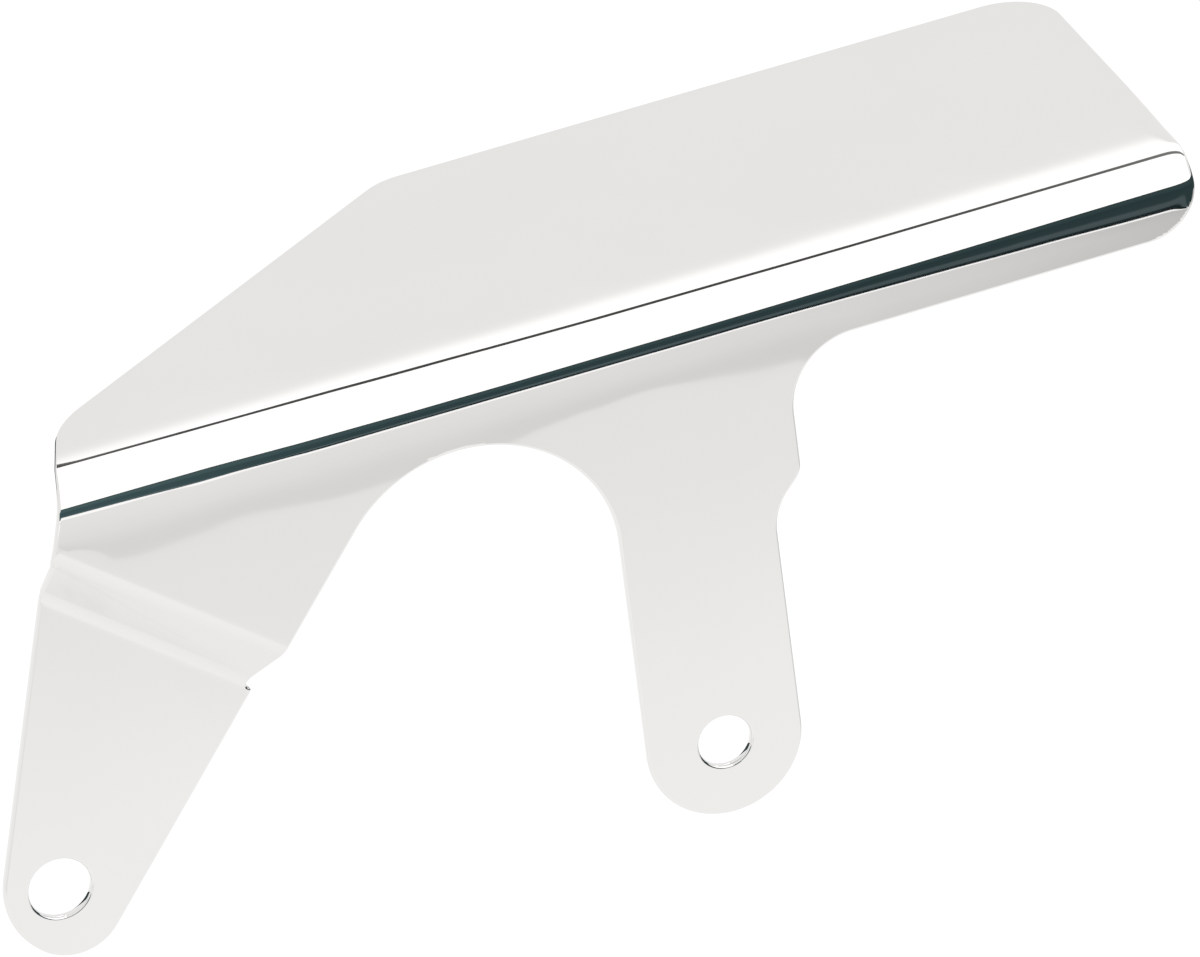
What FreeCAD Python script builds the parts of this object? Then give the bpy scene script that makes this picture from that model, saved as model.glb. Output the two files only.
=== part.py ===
import FreeCAD, Part
import math
import os
import Sketcher
from collections import namedtuple

# Upper belt guard, cut and folded from one blank of sheet steel.
# Frame: +Z up, +X along the fold, +Y under the roof. The origin is the centre
# of the plain leg's hole, on the back face of the sheet, where it meets its boss.
# The guard is drawn as the skin of its outer face, then given the sheet's gauge
# inwards, so that every cut edge stands square to the sheet as in the flat blank.

doc = FreeCAD.newDocument("belt_guard")
sizes = doc.addObject("Spreadsheet::Sheet", "sizes")

# The driving dimensions, in millimetres and degrees. Each becomes a named cell of the sheet.
DIMENSIONS = {
    # The sheet and its long fold.
    "gauge": 1.6,  # sheet thickness
    "bend_radius": 6.4,  # outer radius of the long fold
    "roof_height": 77.55,  # roof's top above the plain hole
    "roof_width": 69.0,  # outer face of the side to the roof's outer edge
    "right_end": 90.4,  # plain hole to the square end
    "left_end": 98.85,  # plain hole to the left edge at the foot of the fold
    "left_lean": 17.0,  # lean of the left edge in the flat blank, in degrees
    "side_depth": 13.2,  # roof's top to the side's lower edge
    "corner_radius": 10.2,  # corners of the roof at the square end and at the bevel
    "bevel_start": 23.3,  # plain hole back to the bevel on the outer edge
    "side_radius": 8.8,  # corner of the side at the square end
    "nose_back": 20.0,  # outer face of the side to the nose, before rounding
    "nose_radius": 17.8,  # rounding of the nose
    # The plain leg and the cut-out beside it.
    "small_hole": 8.8,  # diameter of the plain leg's hole
    "leg_radius": 12.9,  # round end of the plain leg
    "throat_radius": 11.4,  # inside corner under the side's lower edge
    "throat_x": 20.2,  # plain hole to the shoulder at the lower edge
    "shoulder_x": 19.45,  # plain hole to the shoulder's corner, along
    "shoulder_drop": 34.65,  # roof's top to the shoulder's corner
    "shoulder_radius": 4.0,  # rounding of the shoulder
    "waist_x": 14.15,  # plain hole to the waist, along
    "waist_drop": 40.1,  # roof's top to the waist
    "waist_radius": 10.0,  # rounding of the waist
    "crook_x": 34.85,  # plain hole back to the middle of the cut-out
    "crook_drop": 37.25,  # roof's top to the middle of the cut-out
    "crook_radius": 23.4,  # radius of the cut-out
    # The stepped leg.
    "step_x": 108.35,  # plain hole back to the stepped leg's hole
    "step_z": 5.65,  # plain hole up to the stepped leg's hole
    "large_hole": 10.2,  # diameter of the stepped leg's hole
    "heel_z": 3.9,  # stepped hole down to the heel, before rounding
    "heel_radius": 13.2,  # rounding of the heel
    "toe_x": 1.8,  # stepped hole to the toe, before rounding
    "toe_z": 16.55,  # stepped hole down to the toe, before rounding
    "toe_radius": 8.6,  # rounding of the toe
    "notch_x": 73.3,  # plain hole back to the notch under the step
    "notch_drop": 46.55,  # roof's top to the notch under the step
    "lip": 1.43,  # how far the stepped leg stands out at the notch
    "lip_radius": 0.6,  # rounding of the notch and of its lip
    "joggle_angle": 40.0,  # lean of the stepped leg, in degrees
    "joggle_start": 73.7,  # roof's top above the plain hole to the step's first fold line
    "joggle_run": 8.05,  # between the step's two fold lines
    "joggle_depth": 6.35,  # how far the stepped leg stands back
    "joggle_radius": 2.4,  # inside radius of the step's two folds
    "margin": 30.0,  # how far the trimming shapes pass the sheet
}
for row, (alias, value) in enumerate(DIMENSIONS.items(), 1):
    sizes.set("A%d" % row, alias)
    sizes.set("B%d" % row, str(value))
    sizes.setAlias("B%d" % row, alias)
doc.recompute()

Node = namedtuple("Node", "x y radius turn")
ALONG_X = FreeCAD.Placement(FreeCAD.Vector(), FreeCAD.Rotation(FreeCAD.Vector(1, 1, 1), 120))
ALONG_Y = FreeCAD.Placement(FreeCAD.Vector(), FreeCAD.Rotation(FreeCAD.Vector(1, 0, 0), 90))
ALONG_Z = FreeCAD.Placement()
ALONG_FOLD = FreeCAD.Placement(FreeCAD.Vector(), FreeCAD.Rotation(FreeCAD.Vector(0, 1, 0), 0))


def corner(x, y, radius="0"):
    """A corner of an outline, rounded unless its radius is zero."""
    return Node(x, y, radius, 0)


def disc(x, y, radius, turn):
    """A circle that the outline runs round: turn 1 is anticlockwise, -1 clockwise."""
    return Node(x, y, radius, turn)


def heading(angle):
    """Unit vector of a line's direction."""
    return FreeCAD.Vector(math.cos(angle), math.sin(angle), 0)


def left_of(angle):
    """Unit vector to the left of a line's direction."""
    return FreeCAD.Vector(-math.sin(angle), math.cos(angle), 0)


def sketch_on(name, placement, nodes, closed=True):
    """Draws lines and tangent arcs through the nodes, each node bound to the sheet."""
    sketch = doc.addObject("Sketcher::SketchObject", name)
    sketch.Placement = placement
    spots = [FreeCAD.Vector(sketch.evalExpression(n.x), sketch.evalExpression(n.y), 0) for n in nodes]
    radii = [sketch.evalExpression(n.radius) for n in nodes]
    count = len(nodes)
    spans = count if closed else count - 1

    angles = []
    for i in range(spans):
        j = (i + 1) % count
        across = spots[j] - spots[i]
        shift = nodes[j].turn * radii[j] - nodes[i].turn * radii[i]
        angles.append(math.atan2(across.y, across.x) - math.asin(shift / across.Length))

    arrive = list(spots)
    leave = list(spots)
    centre = list(spots)
    turns = [n.turn for n in nodes]
    for i in range(count):
        is_end = not closed and i in (0, count - 1)
        if radii[i] == 0 or is_end:
            continue
        before = angles[i - 1]
        after = angles[i]
        if turns[i] == 0:
            bend = (after - before + math.pi) % (2 * math.pi) - math.pi
            turns[i] = 1 if bend > 0 else -1
            run = radii[i] * math.tan(abs(bend) / 2)
            centre[i] = spots[i] - heading(before) * run + left_of(before) * (turns[i] * radii[i])
        arrive[i] = centre[i] - left_of(before) * (turns[i] * radii[i])
        leave[i] = centre[i] - left_of(after) * (turns[i] * radii[i])

    for i in range(spans):
        sketch.addGeometry(Part.LineSegment(leave[i], arrive[(i + 1) % count]))

    for i, node in enumerate(nodes):
        before = (i - 1) % count
        if not closed and i == 0:
            held = (0, 1)
        elif not closed and i == count - 1:
            held = (before, 2)
        elif turns[i] == 0:
            sketch.addConstraint(Sketcher.Constraint("Coincident", before, 2, i, 1))
            held = (i, 1)
        else:
            first, last = (arrive[i], leave[i]) if turns[i] > 0 else (leave[i], arrive[i])
            enter, leave_by = (1, 2) if turns[i] > 0 else (2, 1)
            from_angle = math.atan2(first.y - centre[i].y, first.x - centre[i].x)
            to_angle = math.atan2(last.y - centre[i].y, last.x - centre[i].x)
            circle = Part.Circle(centre[i], FreeCAD.Vector(0, 0, 1), radii[i])
            arc = sketch.addGeometry(Part.ArcOfCircle(circle, from_angle, to_angle))
            sketch.addConstraint(Sketcher.Constraint("Tangent", before, 2, arc, enter))
            sketch.addConstraint(Sketcher.Constraint("Tangent", arc, leave_by, i, 1))
            bind(sketch, Sketcher.Constraint("Radius", arc, radii[i]), "radius_%d" % i, node.radius)
            held = (arc, 3)
            if node.turn == 0:
                point = sketch.addGeometry(Part.Point(spots[i]), True)
                sketch.addConstraint(Sketcher.Constraint("PointOnObject", point, 1, before))
                sketch.addConstraint(Sketcher.Constraint("PointOnObject", point, 1, i))
                held = (point, 1)
        bind(sketch, Sketcher.Constraint("DistanceX", -1, 1, *held, spots[i].x), "x_%d" % i, node.x)
        bind(sketch, Sketcher.Constraint("DistanceY", -1, 1, *held, spots[i].y), "y_%d" % i, node.y)
    doc.recompute()
    return sketch


def bind(sketch, constraint, name, expression):
    """Adds a constraint and ties its value to the sheet."""
    index = sketch.addConstraint(constraint)
    sketch.renameConstraint(index, name)
    sketch.setExpression("Constraints." + name, expression)


def extrude(name, sketch, forward, backward, solid=True):
    """Pulls a sketch along its own normal, both ways by sizes from the sheet."""
    pulled = doc.addObject("Part::Extrusion", name)
    pulled.Base = sketch
    pulled.DirMode = "Normal"
    pulled.Solid = solid
    pulled.setExpression("LengthFwd", forward)
    pulled.setExpression("LengthRev", backward)
    doc.recompute()
    return pulled


def boolean(kind, name, base, tool):
    """Part::Cut or Part::Common of two objects."""
    result = doc.addObject(kind, name)
    result.Base = base
    result.Tool = tool
    doc.recompute()
    return result


# Places that several outlines share, as expressions of the sheet. The left edge is
# one straight line in the flat blank, so it shifts where it runs over the step.
FACE = "-sizes.gauge"
FAR = "-(sizes.step_x + sizes.margin)"
FOOT = "(sizes.roof_height - sizes.bend_radius)"
LEAN = "tan(sizes.left_lean)"
BEND_X = "-sizes.left_end + %s * (sizes.bend_radius - sizes.gauge) * pi / 2" % LEAN
NOSE_X = BEND_X + " + %s * (sizes.nose_back - sizes.bend_radius)" % LEAN
START = "(sizes.joggle_start - sizes.roof_height * cos(sizes.joggle_angle))"
NOTCH_Z = "sizes.roof_height - sizes.notch_drop"
OFF_SQUARE = "(sizes.joggle_angle - sizes.left_lean)"
LEFT_ALONG = "(sizes.left_end * sin(sizes.joggle_angle) - %s * cos(sizes.joggle_angle))" % FOOT
TO_STEP = "((%s - %s) / cos(%s))" % (START, LEFT_ALONG, OFF_SQUARE)
SLIP = "(sqrt(sizes.joggle_run ^ 2 + sizes.joggle_depth ^ 2) * tan(%s))" % OFF_SQUARE
STEP_TOP_X = "(-sizes.left_end - %s * sin(sizes.left_lean))" % TO_STEP
STEP_TOP_Z = "(%s - %s * cos(sizes.left_lean))" % (FOOT, TO_STEP)
STEP_LOW_X = "(%s - sizes.joggle_run * sin(sizes.joggle_angle)" % STEP_TOP_X
STEP_LOW_X += " + %s * cos(sizes.joggle_angle))" % SLIP
STEP_LOW_Z = "(%s - sizes.joggle_run * cos(sizes.joggle_angle)" % STEP_TOP_Z
STEP_LOW_Z += " - %s * sin(sizes.joggle_angle))" % SLIP
HEEL_Z = "(sizes.step_z - sizes.heel_z)"
HEEL_X = "(%s - (%s - %s) * %s)" % (STEP_LOW_X, STEP_LOW_Z, HEEL_Z, LEAN)

# The long fold as an open line: roof, round fold, side.
section = sketch_on("fold_section", ALONG_X, [
    corner("sizes.roof_width + sizes.margin", "sizes.roof_height"),
    corner(FACE, "sizes.roof_height", "sizes.bend_radius"),
    corner(FACE, "-sizes.leg_radius - sizes.margin"),
], closed=False)
fold = extrude("fold_skin", section, "sizes.right_end + sizes.margin", "-(%s)" % FAR, solid=False)

# Outline of the side and of both legs, seen square to the side.
side_outline = sketch_on("side_outline", ALONG_Y, [
    corner(FAR, "sizes.roof_height + sizes.margin"),
    corner("sizes.right_end", "sizes.roof_height + sizes.margin"),
    corner("sizes.right_end", "sizes.roof_height - sizes.side_depth", "sizes.side_radius"),
    corner("sizes.throat_x", "sizes.roof_height - sizes.side_depth", "sizes.throat_radius"),
    corner("sizes.shoulder_x", "sizes.roof_height - sizes.shoulder_drop", "sizes.shoulder_radius"),
    corner("sizes.waist_x", "sizes.roof_height - sizes.waist_drop", "sizes.waist_radius"),
    disc("0", "0", "sizes.leg_radius", -1),
    disc("-sizes.crook_x", "sizes.roof_height - sizes.crook_drop", "sizes.crook_radius", 1),
    corner("-sizes.notch_x", NOTCH_Z, "sizes.lip_radius"),
    corner("-sizes.notch_x + sizes.lip * cos(sizes.joggle_angle)",
           NOTCH_Z + " - sizes.lip * sin(sizes.joggle_angle)", "sizes.lip_radius"),
    corner("-sizes.step_x + sizes.toe_x", "sizes.step_z - sizes.toe_z", "sizes.toe_radius"),
    corner(HEEL_X, HEEL_Z, "sizes.heel_radius"),
    corner(STEP_LOW_X, STEP_LOW_Z),
    corner(STEP_TOP_X, STEP_TOP_Z),
    corner("-sizes.left_end", FOOT),
    corner(FAR, FOOT),
])
side = extrude("side_prism", side_outline, "sizes.margin", "sizes.roof_width + sizes.margin")

# Outline of the roof, seen from above. It lets the fold's left end pass.
roof_outline = sketch_on("roof_outline", ALONG_Z, [
    corner(FAR, "-sizes.margin"),
    corner("sizes.right_end", "-sizes.margin"),
    corner("sizes.right_end", "sizes.roof_width + (%s)" % FACE, "sizes.corner_radius"),
    corner("-sizes.bevel_start", "sizes.roof_width + (%s)" % FACE, "sizes.corner_radius"),
    corner(NOSE_X, "sizes.nose_back + (%s)" % FACE, "sizes.nose_radius"),
    corner(BEND_X, "sizes.bend_radius + (%s)" % FACE),
    corner(FAR, "sizes.bend_radius + (%s)" % FACE),
])
roof = extrude("roof_prism", roof_outline, "sizes.roof_height + sizes.margin",
               "sizes.leg_radius + sizes.margin * 2")

# Waste at the fold's left end, where the slanting edge runs over the bend.
waste_outline = sketch_on("waste_outline", ALONG_Y, [
    corner("-sizes.left_end", FOOT),
    corner(BEND_X, "sizes.roof_height + sizes.bend_radius"),
    corner(FAR, "sizes.roof_height + sizes.bend_radius"),
    corner(FAR, FOOT),
])
waste_outline.setExpression("Placement.Base.y", FACE)
waste = doc.addObject("Part::Extrusion", "waste_prism")
waste.Base = waste_outline
waste.DirMode = "Custom"
waste.Dir = FreeCAD.Vector(0, 1, -1)
waste.Solid = True
waste.Symmetric = True
waste.setExpression("LengthFwd", "sizes.margin * 2")
doc.recompute()

# The step of the second leg, as an open line square to its two folds.
STEP_FACE = "sizes.joggle_depth + (%s)" % FACE
SEAM = START + " - sizes.joggle_radius - sizes.gauge"
LEG_TIP = "sizes.step_x + sizes.margin"
LEG_LEFT = "sizes.left_end * cos(sizes.joggle_angle) + (%s) * sin(sizes.joggle_angle)" % FOOT
step_section = sketch_on("step_section", ALONG_FOLD, [
    corner(SEAM, FACE),
    corner(START, FACE, "sizes.joggle_radius + sizes.gauge"),
    corner(START + " + sizes.joggle_run", STEP_FACE, "sizes.joggle_radius"),
    corner(LEG_TIP, STEP_FACE),
], closed=False)
step_section.setExpression("Placement.Rotation.Angle", "90 + sizes.joggle_angle")
step = extrude("step_skin", step_section, "-sizes.crook_x", LEG_LEFT, solid=False)

# Where the step takes over from the flat side.
zone_outline = sketch_on("zone_outline", ALONG_FOLD, [
    corner(SEAM, "-sizes.margin"),
    corner(LEG_TIP, "-sizes.margin"),
    corner(LEG_TIP, "sizes.margin"),
    corner(SEAM, "sizes.margin"),
])
zone_outline.setExpression("Placement.Rotation.Angle", "90 + sizes.joggle_angle")
zone = extrude("zone_prism", zone_outline, "-sizes.crook_x", LEG_LEFT)

# Trim both skins and sew them into one.
fold_side = boolean("Part::Common", "fold_side", fold, side)
fold_roof = boolean("Part::Common", "fold_roof", fold_side, roof)
fold_left = boolean("Part::Cut", "fold_left", fold_roof, waste)
plate = boolean("Part::Cut", "plate", fold_left, zone)
leg = boolean("Part::Common", "leg", step, side)
skin = doc.addObject("Part::Feature", "skin")
skin.Shape = Part.Shell(plate.Shape.Faces + leg.Shape.Faces)
sheet = doc.addObject("Part::Offset", "sheet")
sheet.Source = skin
sheet.Fill = True
sheet.Join = "Intersection"
sheet.setExpression("Value", "sizes.gauge")
plain_sheet = doc.addObject("Part::Refine", "plain_sheet")
plain_sheet.Source = sheet
doc.recompute()


def bore(name, diameter, x, z):
    """A cylinder along Y through the sheet, for one bolt hole."""
    tool = doc.addObject("Part::Cylinder", name)
    tool.Placement = ALONG_Y
    tool.setExpression("Radius", diameter + " / 2")
    tool.setExpression("Height", "sizes.margin * 2")
    tool.setExpression("Placement.Base.x", x)
    tool.setExpression("Placement.Base.y", "sizes.margin")
    tool.setExpression("Placement.Base.z", z)
    doc.recompute()
    return tool


small_bore = bore("small_bore", "sizes.small_hole", "0", "0")
large_bore = bore("large_bore", "sizes.large_hole", "-sizes.step_x", "sizes.step_z")
one_hole = boolean("Part::Cut", "one_hole", plain_sheet, small_bore)
guard = boolean("Part::Cut", "belt_guard", one_hole, large_bore)
guard.Label = "belt_guard"
guard.Placement = FreeCAD.Placement()
doc.recompute()

for item in doc.Objects:
    if "Invalid" in item.State or "Error" in item.State:
        raise RuntimeError("%s did not compute: %s" % (item.Name, item.State))
    if hasattr(item, "Shape") and (item.Shape.isNull() or not item.Shape.isValid()):
        raise RuntimeError("%s has no valid shape" % item.Name)
if len(guard.Shape.Solids) != 1:
    raise RuntimeError("the guard is not one solid")
if abs(guard.Shape.BoundBox.ZMax - sizes.roof_height) > 0.01:
    raise RuntimeError("the sheet's gauge was added outwards")

os.makedirs("parts", exist_ok=True)
guard.Shape.Solids[0].exportStep("parts/%s.step" % guard.Label)
print(guard.Label, "volume", round(guard.Shape.Volume, 1), guard.Shape.BoundBox)
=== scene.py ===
import logging
import math
from dataclasses import dataclass, field, replace
from enum import Enum
from typing import Callable

import bmesh
import bpy
from mathutils import Matrix, Vector


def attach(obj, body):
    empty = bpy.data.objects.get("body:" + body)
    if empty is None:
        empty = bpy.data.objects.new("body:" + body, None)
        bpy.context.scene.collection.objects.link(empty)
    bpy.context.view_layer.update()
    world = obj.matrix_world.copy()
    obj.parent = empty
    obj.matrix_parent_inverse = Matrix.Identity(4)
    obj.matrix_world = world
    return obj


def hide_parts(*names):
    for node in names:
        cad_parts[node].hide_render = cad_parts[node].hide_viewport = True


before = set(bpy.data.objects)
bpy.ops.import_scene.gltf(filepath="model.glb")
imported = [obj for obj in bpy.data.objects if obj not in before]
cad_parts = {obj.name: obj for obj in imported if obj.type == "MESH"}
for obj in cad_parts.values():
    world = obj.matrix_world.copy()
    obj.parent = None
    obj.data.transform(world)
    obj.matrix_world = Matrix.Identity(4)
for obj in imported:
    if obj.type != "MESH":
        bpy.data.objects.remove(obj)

# One folded sheet: a roof over the belt, a rounded fold, a side plate and two legs.
# It is made here as at the bench: the blank is scribed flat, thickened, drilled and rounded at its edges,
# then creased, rolled at its right end, stepped and folded.
# The guard's sizes are in millimetres, in the CAD model's own frame, and become metres where they are used.
# The studio and the camera are in metres. Angles are in degrees.
MM = 0.001
ON_PLANE = 1e-7
NUDGE = 0.001
LOG = logging.getLogger("belt_guard")


class Face(Enum):
    """The sides of the sheet, in the order of the material slots."""

    SHOW = 0
    BACK = 1
    CUT = 2


class Stroke(Enum):
    """What the scribing point draws next."""

    LINE = "line"
    ARC = "arc"


@dataclass(frozen=True)
class Corner:
    """A corner of the outline, or a circle that the outline runs round.

    A turn of 1 runs round the circle anticlockwise and -1 clockwise. A turn of 0 is a corner.
    """

    x: float
    v: float
    radius: float = 0.0
    turn: int = 0


@dataclass(frozen=True)
class Mark:
    """One stroke of the outline, to a point, with the centre and sweep of an arc."""

    stroke: Stroke
    end: Vector
    centre: Vector = field(default_factory=lambda: Vector((0.0, 0.0)))
    sweep: float = 0.0


@dataclass
class Outline:
    """A closed outline of straight lines and tangent arcs."""

    corners: list[Corner]

    def headings(self) -> list[float]:
        """Finds the direction of the straight line from each corner to the next.

        Returns:
            The angles in radians, one for each corner.
        """
        found = []
        for here, there in zip(self.corners, self.corners[1:] + self.corners[:1]):
            across = Vector((there.x - here.x, there.v - here.v))
            shift = there.turn * there.radius - here.turn * here.radius
            found.append(math.atan2(across.y, across.x) - math.asin(shift / across.length))
        return found

    def marks(self) -> tuple[Vector, list[Mark]]:
        """Works out the strokes that draw the outline.

        Returns:
            The point where the drawing starts, and the strokes in order.
        """
        angles = self.headings()
        marks: list[Mark] = []
        start = None
        for i, corner in enumerate(self.corners):
            before, after = angles[i - 1], angles[i]
            turn = corner.turn
            centre = Vector((corner.x, corner.v))
            swing = (after - before + math.pi) % (2 * math.pi) - math.pi
            if corner.radius and not turn:
                turn = 1 if swing > 0 else -1
                run = corner.radius * math.tan(abs(swing) / 2)
                centre = centre - heading(before) * run + left_of(before) * (turn * corner.radius)
            if corner.turn:
                swing = turn * ((turn * (after - before)) % (2 * math.pi))
            arrive = centre - left_of(before) * (turn * corner.radius)
            leave = centre - left_of(after) * (turn * corner.radius)
            if start is None:
                start = arrive
            else:
                marks.append(Mark(Stroke.LINE, arrive))
            if turn:
                marks.append(Mark(Stroke.ARC, leave, centre, swing))
        marks.append(Mark(Stroke.LINE, start))
        return start, marks


def heading(angle: float) -> Vector:
    """Unit vector of a line's direction."""
    return Vector((math.cos(angle), math.sin(angle)))


def left_of(angle: float) -> Vector:
    """Unit vector to the left of a line's direction."""
    return Vector((-math.sin(angle), math.cos(angle)))


def pick(obj: bpy.types.Object, test: Callable[[Vector], bool], faces: bool = False) -> None:
    """Selects what passes a test in edit mode, and nothing else.

    Args:
        obj: The object in edit mode.
        test: Takes a point in metres and says whether it is wanted.
        faces: Tests the middles of faces instead of vertices.
    """
    bpy.ops.mesh.select_mode(type="FACE" if faces else "VERT")
    bpy.ops.mesh.select_all(action="DESELECT")
    mesh = bmesh.from_edit_mesh(obj.data)
    for item in mesh.faces if faces else mesh.verts:
        if test(item.calc_center_median() if faces else item.co):
            item.select_set(True)
    mesh.select_flush_mode()
    bmesh.update_edit_mesh(obj.data)


def apply(obj: bpy.types.Object, modifier: bpy.types.Modifier) -> None:
    """Applies a modifier to an object, alone selected.

    Args:
        obj: The object.
        modifier: One of its modifiers.
    """
    bpy.ops.object.select_all(action="DESELECT")
    bpy.context.view_layer.objects.active = obj
    obj.select_set(True)
    bpy.ops.object.modifier_apply(modifier=modifier.name)


def cut_line(through: tuple[float, float, float], across: tuple[float, float, float]) -> None:
    """Cuts the selected faces along a plane, in edit mode.

    Args:
        through: A point of the plane, in millimetres.
        across: The direction square to the plane.
    """
    bpy.ops.mesh.bisect(plane_co=tuple(value * MM for value in through), plane_no=across, threshold=ON_PLANE)


@dataclass
class LongFold:
    """The rounded fold between the side and the roof, with soft ends as a press leaves them."""

    radius: float = 6.35
    side_tail: float = 8.0
    side_tail_angle: float = 3.0
    roof_tail: float = 7.0
    roof_tail_angle: float = 2.5
    spacing: float = 0.26

    def creases(self) -> list[tuple[float, float]]:
        """Lists the crease lines from the side to the roof.

        Returns:
            Each line's distance along the sheet from the start of the fold, and its angle in radians.
        """
        side, roof = math.radians(self.side_tail_angle), math.radians(self.roof_tail_angle)
        core = (math.pi / 2 - side - roof) * self.radius
        whole = self.side_tail + core + self.roof_tail
        count = round(whole / self.spacing)
        stops = []
        for i in range(count + 1):
            along = whole * i / count
            past = along - self.side_tail - core
            if along < self.side_tail:
                angle = side * (along / self.side_tail) ** 3
            elif past < 0:
                angle = side + (along - self.side_tail) / self.radius
            else:
                angle = math.pi / 2 - roof * (1 - past / self.roof_tail) ** 3
            stops.append((along, angle))
        found = []
        for here, there in zip(stops, stops[1:]):
            found.append(((here[0] + there[0]) / 2, there[1] - here[1]))
        return found

    def reach(self) -> tuple[float, float, float]:
        """Measures the folded section.

        Returns:
            The length along the sheet to the last crease, how far that rises, and how far it goes back.
        """
        up = back = angle = last = 0.0
        for along, bend in self.creases():
            up += (along - last) * math.cos(angle)
            back += (along - last) * math.sin(angle)
            angle += bend
            last = along
        return last, up, back


@dataclass
class LegStep:
    """The step that sets the second leg back, pressed across it at an angle."""

    start: float = 14.3
    run: float = 8.05
    depth: float = 6.35
    angle: float = 40.0
    upper_radius: float = 4.0
    lower_radius: float = 4.0
    lines: int = 9
    margin: float = 0.6

    def along(self, x: float, z: float) -> float:
        """Distance down the leg, square to the step's folds."""
        turn = math.radians(self.angle)
        return -math.sin(turn) * x - math.cos(turn) * z

    def presses(self) -> list[tuple[float, float]]:
        """Lists the press lines of the step from the top.

        Returns:
            Each line's distance down the leg, and how far back the sheet stands there.
        """
        slope = math.atan2(self.depth, self.run)
        reach = math.tan(slope / 2)
        found = [(self.start - self.upper_radius * reach - self.margin, 0.0)]
        for i in range(self.lines):
            turn = slope * i / (self.lines - 1)
            found.append((self.start - self.upper_radius * (reach - math.sin(turn)),
                          self.upper_radius * (1 - math.cos(turn))))
        for i in range(self.lines):
            turn = slope * (1 - i / (self.lines - 1))
            found.append((self.start + self.run + self.lower_radius * (reach - math.sin(turn)),
                          self.depth - self.lower_radius * (1 - math.cos(turn))))
        found.append((self.start + self.run + self.lower_radius * reach + self.margin, self.depth))
        return found


@dataclass
class RolledEnd:
    """The fold's right end, rolled over a little by grinding and polishing."""

    reach: float = 4.5
    drop: float = 0.5
    power: float = 4.0
    roof_fade: float = 22.0
    side_lead: float = 2.0
    side_fade: float = 3.0
    lines: int = 20
    spacing: float = 0.45
    roof_lines: int = 22

    def weight(self, inside: float, past_fold: float, before_fold: float) -> float:
        """Finds how far the end is rolled at one point.

        Args:
            inside: The distance from the point to the end of the sheet.
            past_fold: How far the point lies on the roof, behind the fold.
            before_fold: How far the point lies on the side, below the fold.

        Returns:
            A share of the full drop.
        """
        near = max(0.0, 1.0 - max(inside, 0.0) / self.reach) ** self.power
        roof = max(0.0, 1.0 - max(past_fold, 0.0) / self.roof_fade) ** 2
        below = min(max((before_fold + self.side_lead) / (self.side_lead + self.side_fade), 0.0), 1.0)
        return near * roof * (1.0 - below * below * (3.0 - 2.0 * below))


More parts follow.
